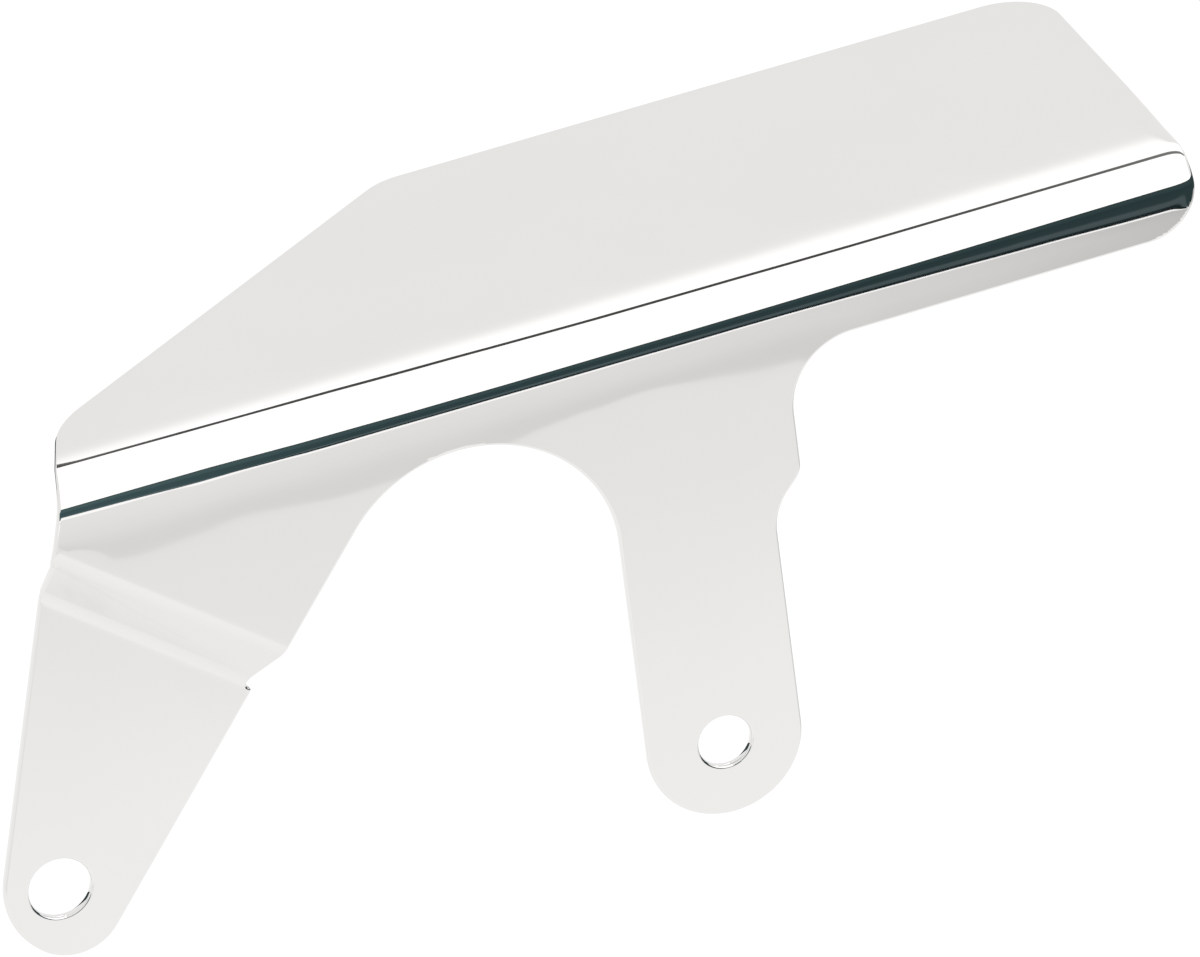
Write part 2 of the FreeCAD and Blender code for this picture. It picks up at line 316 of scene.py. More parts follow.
@dataclass
class BeltGuard:
    """The guard itself, folded from one blank of polished sheet.

    Places along X are measured from the plain leg's hole, and drops from the roof's top.
    """

    # The sheet, its roof and its side.
    gauge: float = 1.6
    roof_height: float = 77.55
    roof_back: float = 67.4
    right_end: float = 90.4
    left_end: float = 98.85
    left_lean: float = 17.0
    corner_radius: float = 10.2
    bevel_start: float = 23.3
    nose_back: float = 18.4
    nose_radius: float = 17.8
    side_depth: float = 13.2
    side_radius: float = 8.8
    bend_radius: float = 6.4
    # The plain leg and the cut-out beside it.
    small_hole: float = 8.8
    leg_radius: float = 12.9
    throat_x: float = 20.2
    throat_radius: float = 11.4
    shoulder_x: float = 19.45
    shoulder_drop: float = 34.65
    shoulder_radius: float = 4.0
    waist_x: float = 14.15
    waist_drop: float = 40.1
    waist_radius: float = 10.0
    crook_x: float = 34.85
    crook_drop: float = 37.25
    crook_radius: float = 23.4
    # The stepped leg, with its heel and toe measured from its own hole.
    large_hole: float = 10.2
    hole_x: float = 108.35
    hole_z: float = 5.65
    heel_drop: float = 3.9
    heel_radius: float = 13.2
    toe_x: float = 1.8
    toe_drop: float = 16.55
    toe_radius: float = 8.6
    notch_x: float = 73.3
    notch_drop: float = 46.55
    lip: float = 1.43
    lip_radius: float = 0.6
    # How finely it is worked.
    edge: float = 0.45
    edge_segments: int = 4
    edge_angle: float = 50.0
    hole_sides: int = 72
    drill_length: float = 60.0
    arc_step: float = 3.0
    arc_least: int = 4
    scribe_weld: float = 0.02
    crease_weld: float = 0.03
    quiet_lines: int = 7
    quiet_spacing: float = 1.6
    least_share: float = 0.0001
    press_margin: float = 0.01
    fold: LongFold = field(default_factory=LongFold)
    step: LegStep = field(default_factory=LegStep)
    end: RolledEnd = field(default_factory=RolledEnd)
    fold_start: float = field(init=False)
    core_start: float = field(init=False)
    roof_start: float = field(init=False)
    roof_offset: float = field(init=False)

    def __post_init__(self) -> None:
        """Places the fold so that the roof and the side end up at their own heights."""
        length, up, back = self.fold.reach()
        self.fold_start = self.roof_height - up
        self.core_start = self.fold_start + self.fold.side_tail
        self.roof_start = self.fold_start + length
        self.roof_offset = self.roof_start - (back - self.gauge)

    def outline(self) -> Outline:
        """Lays out the flat blank, clockwise from the roof's back right corner.

        Returns:
            The outline, with the roof laid flat above the side.
        """
        lean = math.radians(self.left_lean)
        slope = math.radians(self.step.angle)
        foot = self.roof_height - self.bend_radius
        inner = self.bend_radius - self.gauge
        bend_x = -self.left_end + math.tan(lean) * inner * math.pi / 2
        nose_x = bend_x + math.tan(lean) * (self.nose_back - inner)
        roof_edge = self.roof_back + self.roof_offset
        lower_edge = self.roof_height - self.side_depth
        to_step = (self.step.start - self.step.along(-self.left_end, foot)) / math.cos(slope - lean)
        top_x = -self.left_end - to_step * math.sin(lean)
        top_z = foot - to_step * math.cos(lean)
        slip = math.hypot(self.step.run, self.step.depth) * math.tan(slope - lean)
        low_x = top_x - self.step.run * math.sin(slope) + slip * math.cos(slope)
        low_z = top_z - self.step.run * math.cos(slope) - slip * math.sin(slope)
        heel_z = self.hole_z - self.heel_drop
        heel_x = low_x - (low_z - heel_z) * math.tan(lean)
        notch_z = self.roof_height - self.notch_drop
        lip_x = -self.notch_x + self.lip * math.cos(slope)
        lip_z = notch_z - self.lip * math.sin(slope)
        return Outline([
            Corner(self.right_end, roof_edge, self.corner_radius),
            Corner(self.right_end, lower_edge, self.side_radius),
            Corner(self.throat_x, lower_edge, self.throat_radius),
            Corner(self.shoulder_x, self.roof_height - self.shoulder_drop, self.shoulder_radius),
            Corner(self.waist_x, self.roof_height - self.waist_drop, self.waist_radius),
            Corner(0.0, 0.0, self.leg_radius, -1),
            Corner(-self.crook_x, self.roof_height - self.crook_drop, self.crook_radius, 1),
            Corner(-self.notch_x, notch_z, self.lip_radius),
            Corner(lip_x, lip_z, self.lip_radius),
            Corner(self.toe_x - self.hole_x, self.hole_z - self.toe_drop, self.toe_radius),
            Corner(heel_x, heel_z, self.heel_radius),
            Corner(low_x, low_z),
            Corner(top_x, top_z),
            Corner(-self.left_end, foot),
            Corner(bend_x, inner + self.roof_offset),
            Corner(nose_x, self.nose_back + self.roof_offset, self.nose_radius),
            Corner(-self.bevel_start, roof_edge, self.corner_radius),
        ])

    def scribe(self) -> bpy.types.Object:
        """Draws the blank in the plane of the side's outer face and fills it.

        Returns:
            The blank, one flat face.
        """
        start, marks = self.outline().marks()
        bpy.ops.object.select_all(action="DESELECT")
        bpy.ops.mesh.primitive_plane_add(size=MM)
        blank = bpy.context.object
        blank.name = blank.data.name = "guard_sheet"
        bpy.ops.object.mode_set(mode="EDIT")
        bpy.ops.mesh.select_mode(type="VERT")
        bpy.ops.mesh.select_all(action="SELECT")
        bpy.ops.mesh.merge(type="CENTER")
        bpy.ops.transform.translate(value=(start.x * MM, -self.gauge * MM, start.y * MM))
        here = start
        for mark in marks:
            if mark.stroke is Stroke.LINE:
                move = (mark.end - here) * MM
                bpy.ops.mesh.extrude_vertices_move(TRANSFORM_OT_translate={"value": (move.x, 0.0, move.y)})
            else:
                steps = max(self.arc_least, math.ceil(abs(math.degrees(mark.sweep)) / self.arc_step))
                centre = (mark.centre.x * MM, -self.gauge * MM, mark.centre.y * MM)
                bpy.ops.mesh.spin(steps=steps, angle=mark.sweep, center=centre, axis=(0.0, 1.0, 0.0))
            here = mark.end
        bpy.ops.mesh.select_all(action="SELECT")
        bpy.ops.mesh.remove_doubles(threshold=self.scribe_weld * MM)
        bpy.ops.mesh.edge_face_add()
        return blank

    def crease(self, blank: bpy.types.Object) -> None:
        """Cuts the lines that the sheet is folded and pressed along.

        Args:
            blank: The flat blank, in edit mode.
        """
        for along, _ in self.fold.creases():
            bpy.ops.mesh.select_all(action="SELECT")
            cut_line((0.0, 0.0, self.fold_start + along), (0.0, 0.0, 1.0))
        self.crease_side(blank)
        self.crease_end(blank)
        bpy.ops.mesh.select_all(action="SELECT")
        bpy.ops.mesh.remove_doubles(threshold=self.crease_weld * MM)

    def crease_side(self, blank: bpy.types.Object) -> None:
        """Cuts the step's press lines, and lines that keep the side flat above the cut-out.

        Args:
            blank: The blank, in edit mode.
        """
        side_top = self.core_start * MM
        for i in range(self.quiet_lines):
            beside = (i - (self.quiet_lines - 1) / 2) * self.quiet_spacing
            pick(blank, lambda p: p.z < side_top, faces=True)
            cut_line((beside - self.crook_x, 0.0, 0.0), (1.0, 0.0, 0.0))
        turn = math.radians(self.step.angle)
        across = (-math.sin(turn), 0.0, -math.cos(turn))
        for along, _ in self.step.presses():
            pick(blank, lambda p: p.z < side_top and p.x < -self.crook_x * MM, faces=True)
            cut_line(tuple(along * value for value in across), across)

    def crease_end(self, blank: bpy.types.Object) -> None:
        """Cuts the lines along which the right end is rolled over.

        Args:
            blank: The blank, in edit mode.
        """
        for i in range(1, self.end.lines + 1):
            bpy.ops.mesh.select_all(action="SELECT")
            cut_line((self.right_end - i * self.end.spacing, 0.0, 0.0), (1.0, 0.0, 0.0))
        inner = self.right_end - self.end.lines * self.end.spacing
        for i in range(1, self.end.roof_lines + 1):
            height = self.roof_start + i * self.end.roof_fade / self.end.roof_lines
            pick(blank, lambda p: p.x > inner * MM and p.z > self.roof_start * MM, faces=True)
            cut_line((0.0, 0.0, height), (0.0, 0.0, 1.0))

    def mark_end(self, blank: bpy.types.Object) -> None:
        """Marks on the flat blank how far each point near the right end is rolled over.

        Args:
            blank: The creased blank, in edit mode.
        """
        lower_edge = self.roof_height - self.side_depth
        centre = Vector((self.right_end - self.side_radius, lower_edge + self.side_radius))
        bpy.ops.object.mode_set(mode="OBJECT")
        group = blank.vertex_groups.new(name="rolled_end")
        for vert in blank.data.vertices:
            place = Vector((vert.co.x, vert.co.z)) / MM
            inside = self.right_end - place.x
            if place.x > centre.x and place.y < centre.y:
                inside = self.side_radius - (place - centre).length
            share = self.end.weight(inside, place.y - self.roof_start, self.core_start - place.y)
            if share > self.least_share and place.x > centre.x:
                group.add([vert.index], share, "REPLACE")
        bpy.ops.object.mode_set(mode="EDIT")

    def press_step(self, blank: bpy.types.Object) -> None:
        """Sets the second leg back, one press line after another.

        Args:
            blank: The creased blank, in edit mode.
        """
        done = 0.0
        for along, back in self.step.presses():
            pick(blank, lambda p: self.on_leg(p) and self.step.along(p.x, p.z) > (along - NUDGE) * MM)
            bpy.ops.transform.translate(value=(0.0, (back - done) * MM, 0.0))
            done = back

    def on_leg(self, point: Vector) -> bool:
        """Says whether a point of the blank, in metres, lies on the second leg or on the side above it."""
        return point.x < -self.crook_x * MM and point.z < self.core_start * MM

    def mark_pressed(self, blank: bpy.types.Object) -> None:
        """Marks where the press has rubbed the step, for the finish to be duller there.

        Args:
            blank: The stepped blank, in edit mode.
        """
        presses = self.step.presses()
        first = presses[0][0] + self.press_margin
        last = presses[-1][0] - self.press_margin
        bpy.ops.object.mode_set(mode="OBJECT")
        pressed = blank.data.attributes.new("pressed", "FLOAT", "POINT")
        for vert, mark in zip(blank.data.vertices, pressed.data):
            along = self.step.along(vert.co.x, vert.co.z) / MM
            mark.value = float(self.on_leg(vert.co) and first < along < last)
        bpy.ops.object.mode_set(mode="EDIT")

    def fold_roof(self, blank: bpy.types.Object) -> None:
        """Folds the roof back over the belt, from the outermost crease to the innermost.

        Args:
            blank: The creased blank, in edit mode.
        """
        flat = [v.co.z for v in bmesh.from_edit_mesh(blank.data).verts]
        for along, bend in reversed(self.fold.creases()):
            line = (self.fold_start + along) * MM
            bpy.ops.mesh.select_all(action="DESELECT")
            mesh = bmesh.from_edit_mesh(blank.data)
            for vert, height in zip(mesh.verts, flat):
                vert.select_set(height > line + NUDGE * MM)
            mesh.select_flush_mode()
            bmesh.update_edit_mesh(blank.data)
            bpy.ops.transform.rotate(value=bend, orient_axis="X",
                                     center_override=(0.0, -self.gauge * MM, line))

    def thicken(self, blank: bpy.types.Object) -> None:
        """Gives the flat blank its thickness, its bolt holes and its rounded edges.

        Args:
            blank: The flat blank, in edit mode.
        """
        bpy.ops.object.mode_set(mode="OBJECT")
        bpy.ops.object.transform_apply(location=True, rotation=True, scale=True)
        if blank.data.polygons[0].normal.y > 0:
            blank.data.flip_normals()
        for _ in Face:
            blank.data.materials.append(None)
        solid = blank.modifiers.new("thickness", "SOLIDIFY")
        solid.thickness = self.gauge * MM
        solid.offset = -1.0
        solid.material_offset = Face.BACK.value
        solid.material_offset_rim = Face.CUT.value
        apply(blank, solid)
        for x, z, width in ((0.0, 0.0, self.small_hole), (-self.hole_x, self.hole_z, self.large_hole)):
            drill = self.drill(x, z, width)
            cut = blank.modifiers.new("hole", "BOOLEAN")
            cut.object = drill
            cut.operation = "DIFFERENCE"
            cut.solver = "EXACT"
            cut.material_mode = "INDEX"
            apply(blank, cut)
            bpy.data.objects.remove(drill)
        round_off = blank.modifiers.new("rounded edges", "BEVEL")
        round_off.width = self.edge * MM
        round_off.segments = self.edge_segments
        round_off.limit_method = "ANGLE"
        round_off.angle_limit = math.radians(self.edge_angle)
        round_off.material = Face.CUT.value
        round_off.face_strength_mode = "FSTR_ALL"
        apply(blank, round_off)
        bpy.ops.object.mode_set(mode="EDIT")

    def roll_end(self, blank: bpy.types.Object) -> None:
        """Rolls the right end over, as marked on the flat blank.

        Args:
            blank: The creased blank, in edit mode.
        """
        bpy.ops.object.mode_set(mode="OBJECT")
        roll = blank.modifiers.new("rolled end", "DISPLACE")
        roll.direction = "Y"
        roll.mid_level = 0.0
        roll.strength = self.end.drop * MM
        roll.vertex_group = "rolled_end"
        apply(blank, roll)
        bpy.ops.object.mode_set(mode="EDIT")

    def drill(self, x: float, z: float, width: float) -> bpy.types.Object:
        """Makes the cylinder that cuts one bolt hole.

        Args:
            x: The hole's place along the guard.
            z: The hole's height.
            width: The hole's diameter.

        Returns:
            The cylinder, with the cut edge's finish.
        """
        bpy.ops.object.select_all(action="DESELECT")
        bpy.ops.mesh.primitive_cylinder_add(
            vertices=self.hole_sides, radius=width / 2 * MM, depth=self.drill_length * MM,
            location=(x * MM, 0.0, z * MM), rotation=(math.pi / 2, 0.0, 0.0))
        drill = bpy.context.object
        for _ in Face:
            drill.data.materials.append(None)
        for side in drill.data.polygons:
            side.material_index = Face.CUT.value
        return drill

    def dress(self, sheet: bpy.types.Object, materials: dict[Face, bpy.types.Material]) -> None:
        """Gives the outer face, the back and the cut edges their finishes.

        Args:
            sheet: The finished sheet.
            materials: A material for each side.
        """
        for slot, face in zip(sheet.material_slots, Face, strict=True):
            slot.material = materials[face]

    def build(self) -> bpy.types.Object:
        """Makes the guard.

        Returns:
            The finished sheet, at the origin.
        """
        sheet = self.scribe()
        self.thicken(sheet)
        self.crease(sheet)
        self.mark_end(sheet)
        self.roll_end(sheet)
        self.press_step(sheet)
        self.mark_pressed(sheet)
        self.fold_roof(sheet)
        bpy.ops.object.mode_set(mode="OBJECT")
        bpy.ops.object.shade_smooth()
        even = sheet.modifiers.new("flat faces", "WEIGHTED_NORMAL")
        even.mode = "FACE_AREA"
        even.weight = 50
        even.use_face_influence = True
        apply(sheet, even)
        return sheet


@dataclass(frozen=True)
class Socket:
    """A named input of a node group, with the value it starts from."""

    name: str
    value: float


@dataclass(frozen=True)
class Effect:
    """A shader effect that several finishes share, kept as one node group."""

    name: str
    inputs: tuple[Socket, ...]
    outputs: tuple[str, ...]

    def start(self) -> tuple[bpy.types.NodeTree, bpy.types.Node, bpy.types.Node]:
        """Opens the node group with its sockets.

        Returns:
            The group, its input node and its output node.
        """
        tree = bpy.data.node_groups.new(self.name, "ShaderNodeTree")
        for socket in self.inputs:
            made = tree.interface.new_socket(name=socket.name, in_out="INPUT", socket_type="NodeSocketFloat")
            made.default_value = socket.value
        for name in self.outputs:
            tree.interface.new_socket(name=name, in_out="OUTPUT", socket_type="NodeSocketFloat")
        return tree, tree.nodes.new("NodeGroupInput"), tree.nodes.new("NodeGroupOutput")


def maths(tree: bpy.types.NodeTree, operation: str, *values: object) -> bpy.types.NodeSocket:
    """Adds a Math node to a tree.

    Args:
        tree: The tree.
        operation: The Math node's operation.
        values: Sockets to link, or plain numbers, in the order of the inputs.

    Returns:
        The result's socket.
    """
    node = tree.nodes.new("ShaderNodeMath")
    node.operation = operation
    for socket, value in zip(node.inputs, values):
        if isinstance(value, bpy.types.NodeSocket):
            tree.links.new(value, socket)
        else:
            socket.default_value = value
    return node.outputs[0]


def stretched(tree: bpy.types.NodeTree, scale: tuple[float, float, float]) -> bpy.types.NodeSocket:
    """Gives the object's own coordinates, stretched along each axis.

    Args:
        tree: The tree.
        scale: How many pattern lengths fit in a metre, along X, Y and Z.

    Returns:
        The coordinates' socket.
    """
    place = tree.nodes.new("ShaderNodeTexCoord")
    mapping = tree.nodes.new("ShaderNodeMapping")
    mapping.inputs["Scale"].default_value = scale
    tree.links.new(place.outputs["Object"], mapping.inputs["Vector"])
    return mapping.outputs["Vector"]


def noise(tree: bpy.types.NodeTree, place: bpy.types.NodeSocket, detail: float = 2.0) -> bpy.types.NodeSocket:
    """Adds a noise pattern of scale one on some coordinates.

    Args:
        tree: The tree.
        place: The coordinates' socket.
        detail: How many finer layers it has.

    Returns:
        The pattern's socket, from 0 to 1.
    """
    node = tree.nodes.new("ShaderNodeTexNoise")
    node.inputs["Scale"].default_value = 1.0
    node.inputs["Detail"].default_value = detail
    tree.links.new(place, node.inputs["Vector"])
    return node.outputs[0]


# Pattern lengths to a metre, along X, Y and Z.
SWELL_PITCH = (32.0, 26.0, 26.0)
BUFFING_PITCH = (60.0, 900.0, 900.0)
CLOUD_PITCH = (45.0, 45.0, 45.0)
HAIRLINE_PITCH = (90.0, 2600.0, 2600.0)
SPECK_PITCH = (74.0, 74.0, 74.0)
# A cell of the speck pattern holds a speck where its own random value is above the first number.
# The speck's radius is the second number, as a share of the cell.
SPECK_FROM = 0.72
SPECK_RADIUS = 0.013


def sheet_ripple() -> bpy.types.NodeTree:
    """Builds the slow waviness that rolled and buffed sheet keeps.

    Returns:
        A group whose height, in metres, feeds a Bump node.
    """
    effect = Effect("sheet_ripple", (Socket("Swell", 2.0e-5), Socket("Buffing", 4.0e-7)), ("Height",))
    tree, entry, leave = effect.start()
    swell = noise(tree, stretched(tree, SWELL_PITCH), 1.0)
    lines = noise(tree, stretched(tree, BUFFING_PITCH), 2.0)
    slow = maths(tree, "MULTIPLY", swell, entry.outputs["Swell"])
    fine = maths(tree, "MULTIPLY", lines, entry.outputs["Buffing"])
    tree.links.new(maths(tree, "ADD", slow, fine), leave.inputs["Height"])
    return tree


def plating_marks() -> bpy.types.NodeTree:
    """Builds the haze, hairlines and few pin marks of a plated surface.

    Returns:
        A group with a tone to multiply the colour by and a roughness.
    """
    effect = Effect("plating_marks", (Socket("Gloss", 0.04), Socket("Haze", 0.03), Socket("Fade", 0.03),
                                      Socket("Specks", 0.5), Socket("Press", 0.0)), ("Tone", "Roughness"))
    tree, entry, leave = effect.start()
    cloud = noise(tree, stretched(tree, CLOUD_PITCH), 3.0)
    hair = noise(tree, stretched(tree, HAIRLINE_PITCH), 2.0)
    cells = tree.nodes.new("ShaderNodeTexVoronoi")
    cells.inputs["Scale"].default_value = 1.0
    tree.links.new(stretched(tree, SPECK_PITCH), cells.inputs["Vector"])
    apart = tree.nodes.new("ShaderNodeSeparateColor")
    tree.links.new(cells.outputs["Color"], apart.inputs["Color"])
    chosen = maths(tree, "GREATER_THAN", apart.outputs[0], SPECK_FROM)
    dot = maths(tree, "MULTIPLY", maths(tree, "LESS_THAN", cells.outputs["Distance"], SPECK_RADIUS), chosen)
    speck = maths(tree, "MULTIPLY", dot, entry.outputs["Specks"])
    wear = maths(tree, "MULTIPLY_ADD", hair, 0.5, maths(tree, "MULTIPLY", cloud, 0.5))
    shade = maths(tree, "MULTIPLY", maths(tree, "SUBTRACT", 1.0, cloud), entry.outputs["Fade"])
    tone = maths(tree, "SUBTRACT", maths(tree, "SUBTRACT", 1.0, shade), speck)
    rough = maths(tree, "MULTIPLY_ADD", wear, entry.outputs["Haze"], entry.outputs["Gloss"])
    pressed = tree.nodes.new("ShaderNodeAttribute")
    pressed.attribute_name = "pressed"
    rough = maths(tree, "MULTIPLY_ADD", pressed.outputs["Fac"], entry.outputs["Press"], rough)
    tree.links.new(tone, leave.inputs["Tone"])
    tree.links.new(maths(tree, "ADD", rough, speck), leave.inputs["Roughness"])
    return tree


@dataclass(frozen=True)
class ChromeFinish:
    """How one side of the sheet is polished and plated."""

    name: str
    tint: tuple[float, float, float]
    gloss: float
    haze: float
    fade: float
    specks: float
    swell: float
    buffing: float
    press: float

    def material(self, ripple: bpy.types.NodeTree, marks: bpy.types.NodeTree) -> bpy.types.Material:
        """Makes the finish as a material.

        Args:
            ripple: The sheet's waviness.
            marks: The plating's marks.

        Returns:
            The material.
        """
        made = bpy.data.materials.new(self.name)
        made.use_nodes = True
        tree = made.node_tree
        shader = tree.nodes["Principled BSDF"]
        shader.inputs["Metallic"].default_value = 1.0
        wear = tree.nodes.new("ShaderNodeGroup")
        wear.node_tree = marks
        for name, value in (("Gloss", self.gloss), ("Haze", self.haze), ("Fade", self.fade),
                            ("Specks", self.specks), ("Press", self.press)):
            wear.inputs[name].default_value = value
        colour = tree.nodes.new("ShaderNodeMix")
        colour.data_type = "RGBA"
        colour.blend_type = "MULTIPLY"
        colour.inputs["Factor"].default_value = 1.0
        colour.inputs["A"].default_value = (*self.tint, 1.0)
        tree.links.new(wear.outputs["Tone"], colour.inputs["B"])
        tree.links.new(colour.outputs["Result"], shader.inputs["Base Color"])
        tree.links.new(wear.outputs["Roughness"], shader.inputs["Roughness"])
        wave = tree.nodes.new("ShaderNodeGroup")
        wave.node_tree = ripple
        wave.inputs["Swell"].default_value = self.swell
        wave.inputs["Buffing"].default_value = self.buffing
        bump = tree.nodes.new("ShaderNodeBump")
        bump.inputs["Distance"].default_value = 1.0
        tree.links.new(wave.outputs["Height"], bump.inputs["Height"])
        tree.links.new(bump.outputs["Normal"], shader.inputs["Normal"])
        return made


FINISHES = {
    Face.SHOW: ChromeFinish(
        name="show_chrome", tint=(0.785, 0.777, 0.763), gloss=0.012, haze=0.015, fade=0.03, specks=0.35,
        swell=6.0e-5, buffing=0.0, press=0.12),
    Face.BACK: ChromeFinish(
        name="back_chrome", tint=(0.66, 0.665, 0.67), gloss=0.20, haze=0.12, fade=0.12, specks=0.30,
        swell=3.0e-5, buffing=1.5e-6, press=0.05),
    Face.CUT: ChromeFinish(
        name="edge_chrome", tint=(0.80, 0.793, 0.78), gloss=0.03, haze=0.03, fade=0.05, specks=0.0,
        swell=1.5e-5, buffing=0.0, press=0.0),
}


@dataclass(frozen=True)
class PanelFinish:
    """The look of a studio panel, as colours along its width and a fade along its length."""

    name: str
    stops: tuple[tuple[float, tuple[float, float, float]], ...]
    along: tuple[tuple[float, float], ...] = ((0.0, 1.0),)

    def material(self) -> bpy.types.Material:
        """Makes the panel's glow as a material on its own UV map.

        Returns:
            The material.
        """
        made = bpy.data.materials.new(self.name)
        made.use_nodes = True
        tree = made.node_tree
        tree.nodes.clear()
        leave = tree.nodes.new("ShaderNodeOutputMaterial")
        glow = tree.nodes.new("ShaderNodeEmission")
        place = tree.nodes.new("ShaderNodeTexCoord")
        apart = tree.nodes.new("ShaderNodeSeparateXYZ")
        tree.links.new(place.outputs["UV"], apart.inputs["Vector"])
        across = self.ramp(tree, [(at, (*colour, 1.0)) for at, colour in self.stops])
        length = self.ramp(tree, [(at, (tone, tone, tone, 1.0)) for at, tone in self.along])
        tree.links.new(apart.outputs["Y"], across.inputs["Fac"])
        tree.links.new(apart.outputs["X"], length.inputs["Fac"])
        tree.links.new(across.outputs["Color"], glow.inputs["Color"])
        tree.links.new(length.outputs["Color"], glow.inputs["Strength"])
        tree.links.new(glow.outputs["Emission"], leave.inputs["Surface"])
        return made

    @staticmethod
    def ramp(tree: bpy.types.NodeTree, stops: list[tuple[float, tuple]]) -> bpy.types.Node:
        """Adds a Color Ramp node with these stops.

        Args:
            tree: The tree.
            stops: Places from 0 to 1, each with its colour.

        Returns:
            The node.
        """
        node = tree.nodes.new("ShaderNodeValToRGB")
        node.color_ramp.interpolation = "LINEAR"
        marks = node.color_ramp.elements
        while len(marks) > 1:
            marks.remove(marks[-1])
        for i, (at, colour) in enumerate(stops):
            mark = marks[0] if i == 0 else marks.new(at)
            mark.position = at
            mark.color = colour
        return node


@dataclass(frozen=True)
class Curve:
    """A line through a few points, level before the first and after the last."""

    points: tuple[tuple[float, float], ...]

    def at(self, place: float) -> float:
        """Finds the line's value at one place.

        Args:
            place: The place along the line.

        Returns:
            The value, in proportion between the points on both sides of the place.
        """
        for (start, low), (end, high) in zip(self.points, self.points[1:]):
            if place < end:
                return low + (high - low) * max(0.0, (place - start) / (end - start))
        return self.points[-1][1]


def stations(*curves: Curve) -> list[float]:
    """Lists in order every place where one of the curves bends."""
    return sorted({place for curve in curves for place, _ in curve.points})


def spread(tones: list[float]) -> tuple[tuple[float, float], ...]:
    """Gives the tones along a panel even places from 0 to 1, as its UV map has them."""
    return tuple((i / (len(tones) - 1), tone) for i, tone in enumerate(tones))


def greys(tone: Curve, start: float, end: float) -> tuple[tuple[float, tuple[float, float, float]], ...]:
    """Turns the tones of a panel on the floor into stops across it, from its near edge to its far edge."""
    return tuple(((start - y) / (start - end), (grey, grey, grey)) for y, grey in reversed(tone.points))


def strip(name: str, low: list[tuple], high: list[tuple], finish: PanelFinish,
          lights: bool = False) -> bpy.types.Object:
    """Lays a panel between two edges that have the same number of points.

    Args:
        name: The panel's name.
        low: The points of the edge at the bottom of its UV map, in metres.
        high: The points of the other edge.
        finish: The panel's look.
        lights: Lets the panel light dull surfaces too, besides being mirrored.

    Returns:
        The panel, hidden from the camera and casting no shadow.
    """
    bpy.ops.object.select_all(action="DESELECT")
    bpy.ops.mesh.primitive_grid_add(x_subdivisions=len(low) - 1, y_subdivisions=1, size=1.0)
    panel = bpy.context.object
    panel.name = panel.data.name = name
    for vert, point in zip(panel.data.vertices, [*low, *high], strict=True):
        vert.co = point
    panel.data.materials.append(finish.material())
    panel.visible_camera = False
    panel.visible_shadow = False
    panel.visible_diffuse = lights
    return panel


@dataclass(frozen=True)
class FrameStation:
    """One place along the dark edge of the light's frame: its far and near side, and its tone."""

    far: tuple[float, float]
    near: tuple[float, float]
    tone: float


@dataclass(frozen=True)
class WallPost:
    """One upright of a dark wall: its place on the floor, its foot and its top."""

    x: float
    y: float
    foot: float
    top: float


ARCH_CLOTH = PanelFinish(
    "arch_cloth", ((0.0, (1.0, 1.0, 1.0)),), ((0.0, 1.0), (0.005, 1.06), (0.012, 1.2), (0.03, 1.4)))
FRAME_CLOTH = PanelFinish(
    "frame_cloth", ((0.0, (0.10, 0.10, 0.10)), (0.5, (0.06, 0.06, 0.06)), (1.0, (0.12, 0.12, 0.12))))
GAP_LIGHT = PanelFinish("gap_light", ((0.0, (1.25, 1.25, 1.25)),))
ROOM_CLOTH = PanelFinish("room_cloth", (
    (0.0, (0.010, 0.017, 0.019)), (0.025, (0.014, 0.023, 0.026)), (0.036, (0.070, 0.098, 0.107)),
    (0.070, (0.075, 0.104, 0.113)), (0.10, (0.030, 0.052, 0.057)), (0.5, (0.026, 0.048, 0.052)),
    (0.62, (0.036, 0.062, 0.067)), (0.90, (0.040, 0.068, 0.072)), (0.97, (0.012, 0.020, 0.020))))
WALL_CLOTH = PanelFinish("wall_cloth", (
    (0.0, (0.012, 0.020, 0.020)), (0.1, (0.035, 0.055, 0.060)), (0.9, (0.035, 0.055, 0.060)),
    (1.0, (0.012, 0.020, 0.020))))


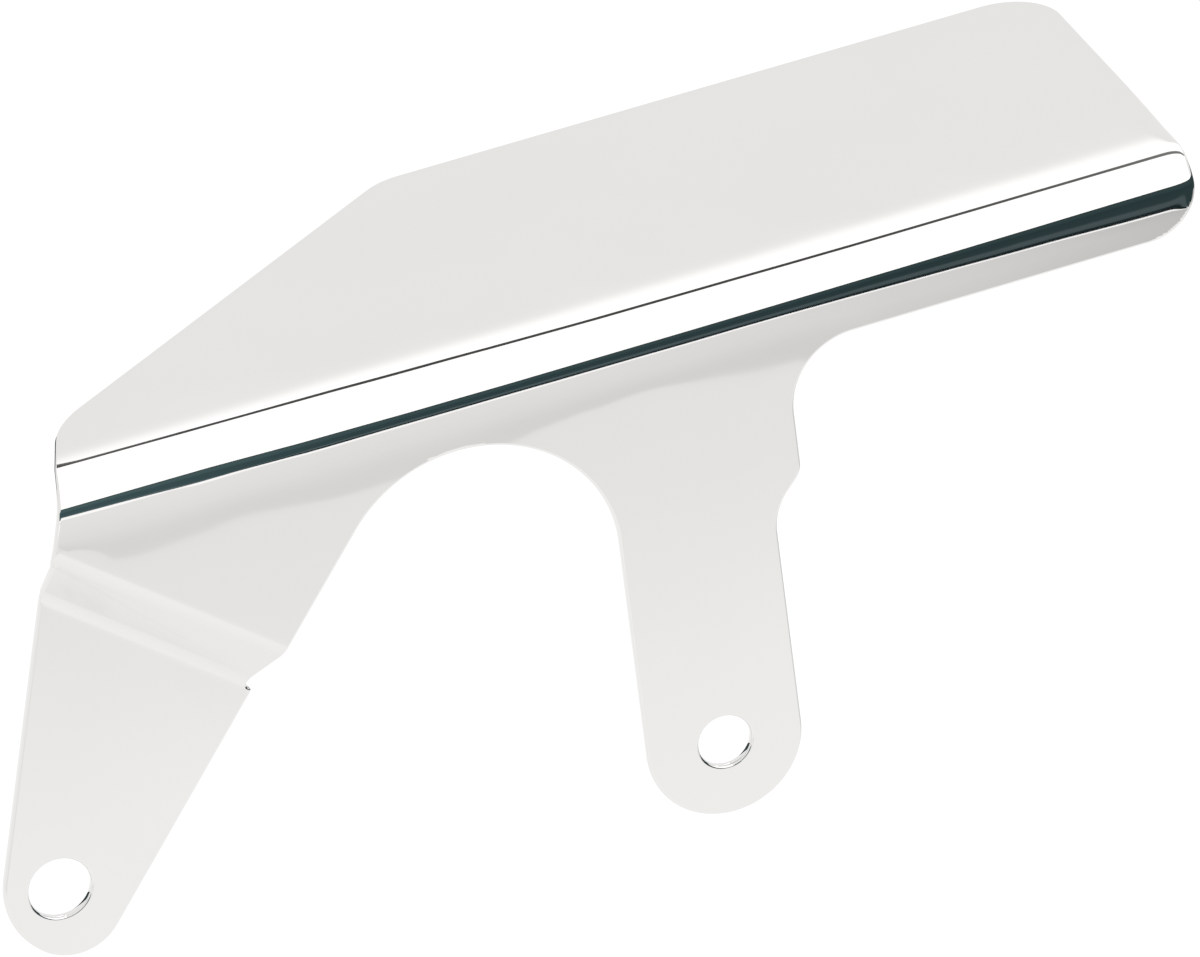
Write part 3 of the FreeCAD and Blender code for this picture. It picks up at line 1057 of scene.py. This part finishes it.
@dataclass
class Studio:
    """The pale floor, the soft light over it and the dark room round it.

    Polished chrome shows hardly anything but these, so their edges are the lines that are seen in the fold.
    """

    # The floor.
    floor_height: float = -0.35
    floor_size: float = 12.0
    floor_paint: float = 0.9
    floor_glow: float = 1.06
    floor_white: float = 0.85
    # The arch of white cloth.
    arch_radius: float = 1.4
    arch_steps: int = 36
    arch_from: float = 30.5
    arch_to: float = 179.0
    arch_sides: tuple[float, float] = (0.08, 1.8)
    # The dark room in front: heights and tones along X, and the lit gap under it.
    room_front: float = -0.78
    room_top: Curve = Curve((
        (-1.1, 0.30), (0.045, 0.25), (0.075, 0.21), (0.095, 0.12), (0.12, 0.065), (0.145, 0.037),
        (0.19, 0.036), (0.24, 0.06), (0.30, 0.117), (0.9, 0.20)))
    room_foot: Curve = Curve((
        (-1.1, -0.05), (0.042, -0.07), (0.083, -0.243), (0.11, -0.264), (0.23, -0.282), (0.32, -0.317),
        (0.9, -0.34)))
    room_gap: Curve = Curve(((0.04, 0.08), (0.06, 0.07), (0.08, 0.025), (0.1, 0.01), (0.28, 0.005)))
    room_fade: Curve = Curve(((0.045, 2.0), (0.12, 1.35), (0.24, 1.0)))
    # The walls beside and behind.
    right_wall: tuple[WallPost, ...] = (
        WallPost(0.9, -0.78, -0.34, 0.20),
        WallPost(1.0, -0.5, -0.345, 0.20),
        WallPost(1.0, 0.3, -0.345, 0.20))
    back_wall: tuple[WallPost, ...] = (
        WallPost(-0.2, 1.1, -0.18, 0.36),
        WallPost(-0.6, 1.1, -0.18, 0.36),
        WallPost(-1.2, 1.1, -0.10, 0.34))
    # The dark edge of the light's frame.
    frame_height: float = 0.7
    frame_edge: tuple[FrameStation, ...] = (
        FrameStation((0.115, 1.40), (0.107, 1.40), 1.8), FrameStation((0.12, 1.01), (0.103, 0.88), 1.5),
        FrameStation((0.141, 0.975), (0.095, 0.65), 1.15), FrameStation((0.13, 0.58), (0.105, 0.39), 1.0),
        FrameStation((0.133, 0.41), (0.119, 0.27), 1.0), FrameStation((0.148, 0.30), (0.139, 0.18), 1.0),
        FrameStation((0.198, 0.21), (0.191, 0.107), 1.0), FrameStation((0.254, 0.196), (0.247, 0.088), 2.0),
        FrameStation((0.268, 0.20), (0.263, 0.075), 3.0), FrameStation((0.90, 0.19), (0.90, 0.06), 3.5))
    # Painted light on the floor, glowing panels seen only in reflections: a painted pool of light, a little
    # dimmer under the guard as its painted shade, and a painted shade darkest at the dark room's foot. Tones
    # from near to far, and fades along X, darker towards the right.
    painted_floor_lift: float = 0.001
    painted_pool_near: float = 0.4
    painted_shade_near: float = -0.757
    painted_shade_edge: Curve = Curve((
        (0.058, -0.772), (0.063, -0.7575), (0.125, -0.754), (0.16, -0.7565), (0.18, -0.76), (0.205, -0.7555),
        (0.23, -0.7545), (0.25, -0.747), (0.285, -0.745)))
    painted_pool_tone: Curve = Curve((
        (-0.757, 0.985), (-0.72, 1.0), (-0.67, 1.04), (-0.615, 1.085), (-0.5, 1.11), (-0.2, 1.09),
        (0.0, 1.06)))
    painted_pool_fade: Curve = Curve(((-1.5, 1.0), (0.345, 1.0), (0.6, 0.70), (1.5, 0.55)))
    painted_shade_tone: Curve = Curve((
        (-0.96, 0.985), (-0.86, 0.965), (-0.80, 0.935), (-0.775, 0.895), (-0.766, 0.865), (-0.757, 0.85)))
    painted_shade_fade: Curve = Curve((
        (0.11, 1.0), (0.205, 0.965), (0.25, 0.92), (0.285, 0.86), (0.315, 0.79), (0.345, 0.64), (1.5, 0.55)))
    painted_shade_far: float = -2.6

    def floor(self) -> bpy.types.Object:
        """Lays the floor, white to the eye and in reflections, and still showing soft shadows.

        Returns:
            The floor.
        """
        bpy.ops.object.select_all(action="DESELECT")
        bpy.ops.mesh.primitive_plane_add(size=self.floor_size, location=(0.0, 0.0, self.floor_height))
        floor = bpy.context.object
        floor.name = floor.data.name = "floor"
        bpy.ops.object.transform_apply(location=True, rotation=True, scale=True)
        made = bpy.data.materials.new("pale_floor")
        made.use_nodes = True
        tree = made.node_tree
        tree.nodes.clear()
        leave = tree.nodes.new("ShaderNodeOutputMaterial")
        mixed = tree.nodes.new("ShaderNodeMixShader")
        paint = tree.nodes.new("ShaderNodeBsdfDiffuse")
        paint.inputs["Color"].default_value = (self.floor_paint, self.floor_paint, self.floor_paint, 1.0)
        white = tree.nodes.new("ShaderNodeEmission")
        white.inputs["Strength"].default_value = self.floor_glow
        path = tree.nodes.new("ShaderNodeLightPath")
        seen = maths(tree, "MAXIMUM", path.outputs["Is Camera Ray"], path.outputs["Is Glossy Ray"])
        seen = maths(tree, "MAXIMUM", seen, path.outputs["Is Transmission Ray"])
        tree.links.new(maths(tree, "MULTIPLY", seen, self.floor_white), mixed.inputs["Fac"])
        tree.links.new(paint.outputs["BSDF"], mixed.inputs[1])
        tree.links.new(white.outputs["Emission"], mixed.inputs[2])
        tree.links.new(mixed.outputs["Shader"], leave.inputs["Surface"])
        floor.data.materials.append(made)
        return floor

    def arch(self) -> bpy.types.Object:
        """Hangs the soft light, an arch of white cloth that starts above the roof's own reflection.

        Returns:
            The arch.
        """
        start = math.radians(self.arch_from)
        span = math.radians(self.arch_to - self.arch_from)
        turns = [start + span * i / self.arch_steps for i in range(self.arch_steps + 1)]
        edges = []
        for x in self.arch_sides:
            edges.append([(x, self.arch_radius * math.cos(t), self.arch_radius * math.sin(t)) for t in turns])
        return strip("soft_arch", *edges, ARCH_CLOTH, lights=True)

    def frame(self) -> bpy.types.Object:
        """Hangs the dark edge of the light's frame, which the fold shows as a thin line.

        Returns:
            The edge.
        """
        high = [(*station.far, self.frame_height) for station in self.frame_edge]
        low = [(*station.near, self.frame_height) for station in self.frame_edge]
        tones = spread([station.tone for station in self.frame_edge])
        return strip("light_frame", low, high, replace(FRAME_CLOTH, along=tones))

    def walls(self) -> list[bpy.types.Object]:
        """Stands the dark room in front, which the fold shows as a band, and the walls beside and behind.

        Returns:
            The light gap under the room, the room and the two walls.
        """
        places = stations(self.room_top, self.room_foot, self.room_gap, self.room_fade)
        low = [(x, self.room_front, self.room_foot.at(x)) for x in places]
        high = [(x, self.room_front, self.room_top.at(x)) for x in places]
        ground = [(x, y, z - self.room_gap.at(x)) for x, y, z in low]
        tones = spread([self.room_fade.at(x) for x in places])
        walls = [strip("light_gap", ground, low, GAP_LIGHT),
                 strip("dark_room", low, high, replace(ROOM_CLOTH, along=tones))]
        for name, posts in (("right_wall", self.right_wall), ("back_wall", self.back_wall)):
            foot = [(post.x, post.y, post.foot) for post in posts]
            top = [(post.x, post.y, post.top) for post in posts]
            walls.append(strip(name, foot, top, WALL_CLOTH))
        return walls

    def painted_floor_light(self) -> list[bpy.types.Object]:
        """Lays a painted pool of light and a painted shade on the floor in front, glowing panels seen only in
        reflections, which the side and the legs show.

        Returns:
            The painted pool of light and the painted shade.
        """
        height = self.floor_height + self.painted_floor_lift
        places = stations(self.painted_shade_edge, self.painted_pool_fade, self.painted_shade_fade)
        near = [(x, self.painted_pool_near, height) for x in places]
        middle = [(x, self.painted_shade_edge.at(x), height) for x in places]
        far = [(x, self.painted_shade_far, height) for x in places]
        # The near panel glows brighter than the floor in front of the guard, a painted pool of light, and a
        # little dimmer under the guard, its painted shade; it is darker towards the right.
        pool_glow = PanelFinish("painted_pool_glow", greys(self.painted_pool_tone, self.painted_pool_near, self.painted_shade_near),
                            spread([self.painted_pool_fade.at(x) for x in places]))
        # The far panel glows darker than the floor, painted shade that is darkest at the foot of the dark
        # room and darker towards the right.
        shade_glow = PanelFinish("painted_shade_glow", greys(self.painted_shade_tone, self.painted_shade_near, self.painted_shade_far),
                            spread([self.painted_shade_fade.at(x) for x in places]))
        return [strip("painted_light_pool", near, middle, pool_glow), strip("painted_room_foot_shade", middle, far, shade_glow)]

    def build(self) -> list[bpy.types.Object]:
        """Sets up the studio.

        Returns:
            The stage pieces.
        """
        world = bpy.data.worlds.new("white_room")
        world.use_nodes = True
        world.node_tree.nodes["Background"].inputs["Color"].default_value = (1.0, 1.0, 1.0, 1.0)
        world.node_tree.nodes["Background"].inputs["Strength"].default_value = 1.0
        bpy.context.scene.world = world
        return [self.floor(), self.arch(), self.frame(), *self.walls(), *self.painted_floor_light()]


@dataclass
class PhotoCamera:
    """The camera, at the photograph's own angle and distance."""

    aim: tuple[float, float, float] = (-0.01255, 0.0, 0.05113)
    distance: float = 1.87304
    azimuth: float = 14.2511
    elevation: float = 28.1574
    roll: float = -9.7018
    lens: float = 360.0
    sensor: float = 36.0
    sight: float = 50.0

    def build(self) -> bpy.types.Object:
        """Places the camera.

        Returns:
            The camera, set as the scene's.
        """
        data = bpy.data.cameras.new("photo_camera")
        data.lens = self.lens
        data.sensor_width = self.sensor
        data.clip_end = self.sight
        camera = bpy.data.objects.new("photo_camera", data)
        bpy.context.scene.collection.objects.link(camera)
        swing = Matrix.Rotation(math.radians(-self.azimuth), 4, "Z")
        tip = Matrix.Rotation(math.radians(90.0 - self.elevation), 4, "X")
        lean = Matrix.Rotation(math.radians(self.roll), 4, "Z")
        back = Matrix.Translation((0.0, 0.0, self.distance))
        camera.matrix_world = Matrix.Translation(self.aim) @ swing @ tip @ lean @ back
        bpy.context.scene.camera = camera
        return camera


def main() -> None:
    """Builds the guard, the studio and the camera, and notes their sizes."""
    logging.basicConfig(level=logging.INFO)
    scene = bpy.context.scene
    scene.view_settings.view_transform = "Standard"
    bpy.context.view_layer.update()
    guard = BeltGuard()
    sheet = guard.build()
    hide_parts("belt_guard")
    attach(sheet, "root")
    ripple, marks = sheet_ripple(), plating_marks()
    guard.dress(sheet, {face: finish.material(ripple, marks) for face, finish in FINISHES.items()})
    LOG.info("%s: %d faces", sheet.name, len(sheet.data.polygons))
    for piece in Studio().build():
        LOG.info("stage: %s", piece.name)
    PhotoCamera().build()


if __name__ == "__main__":
    main()
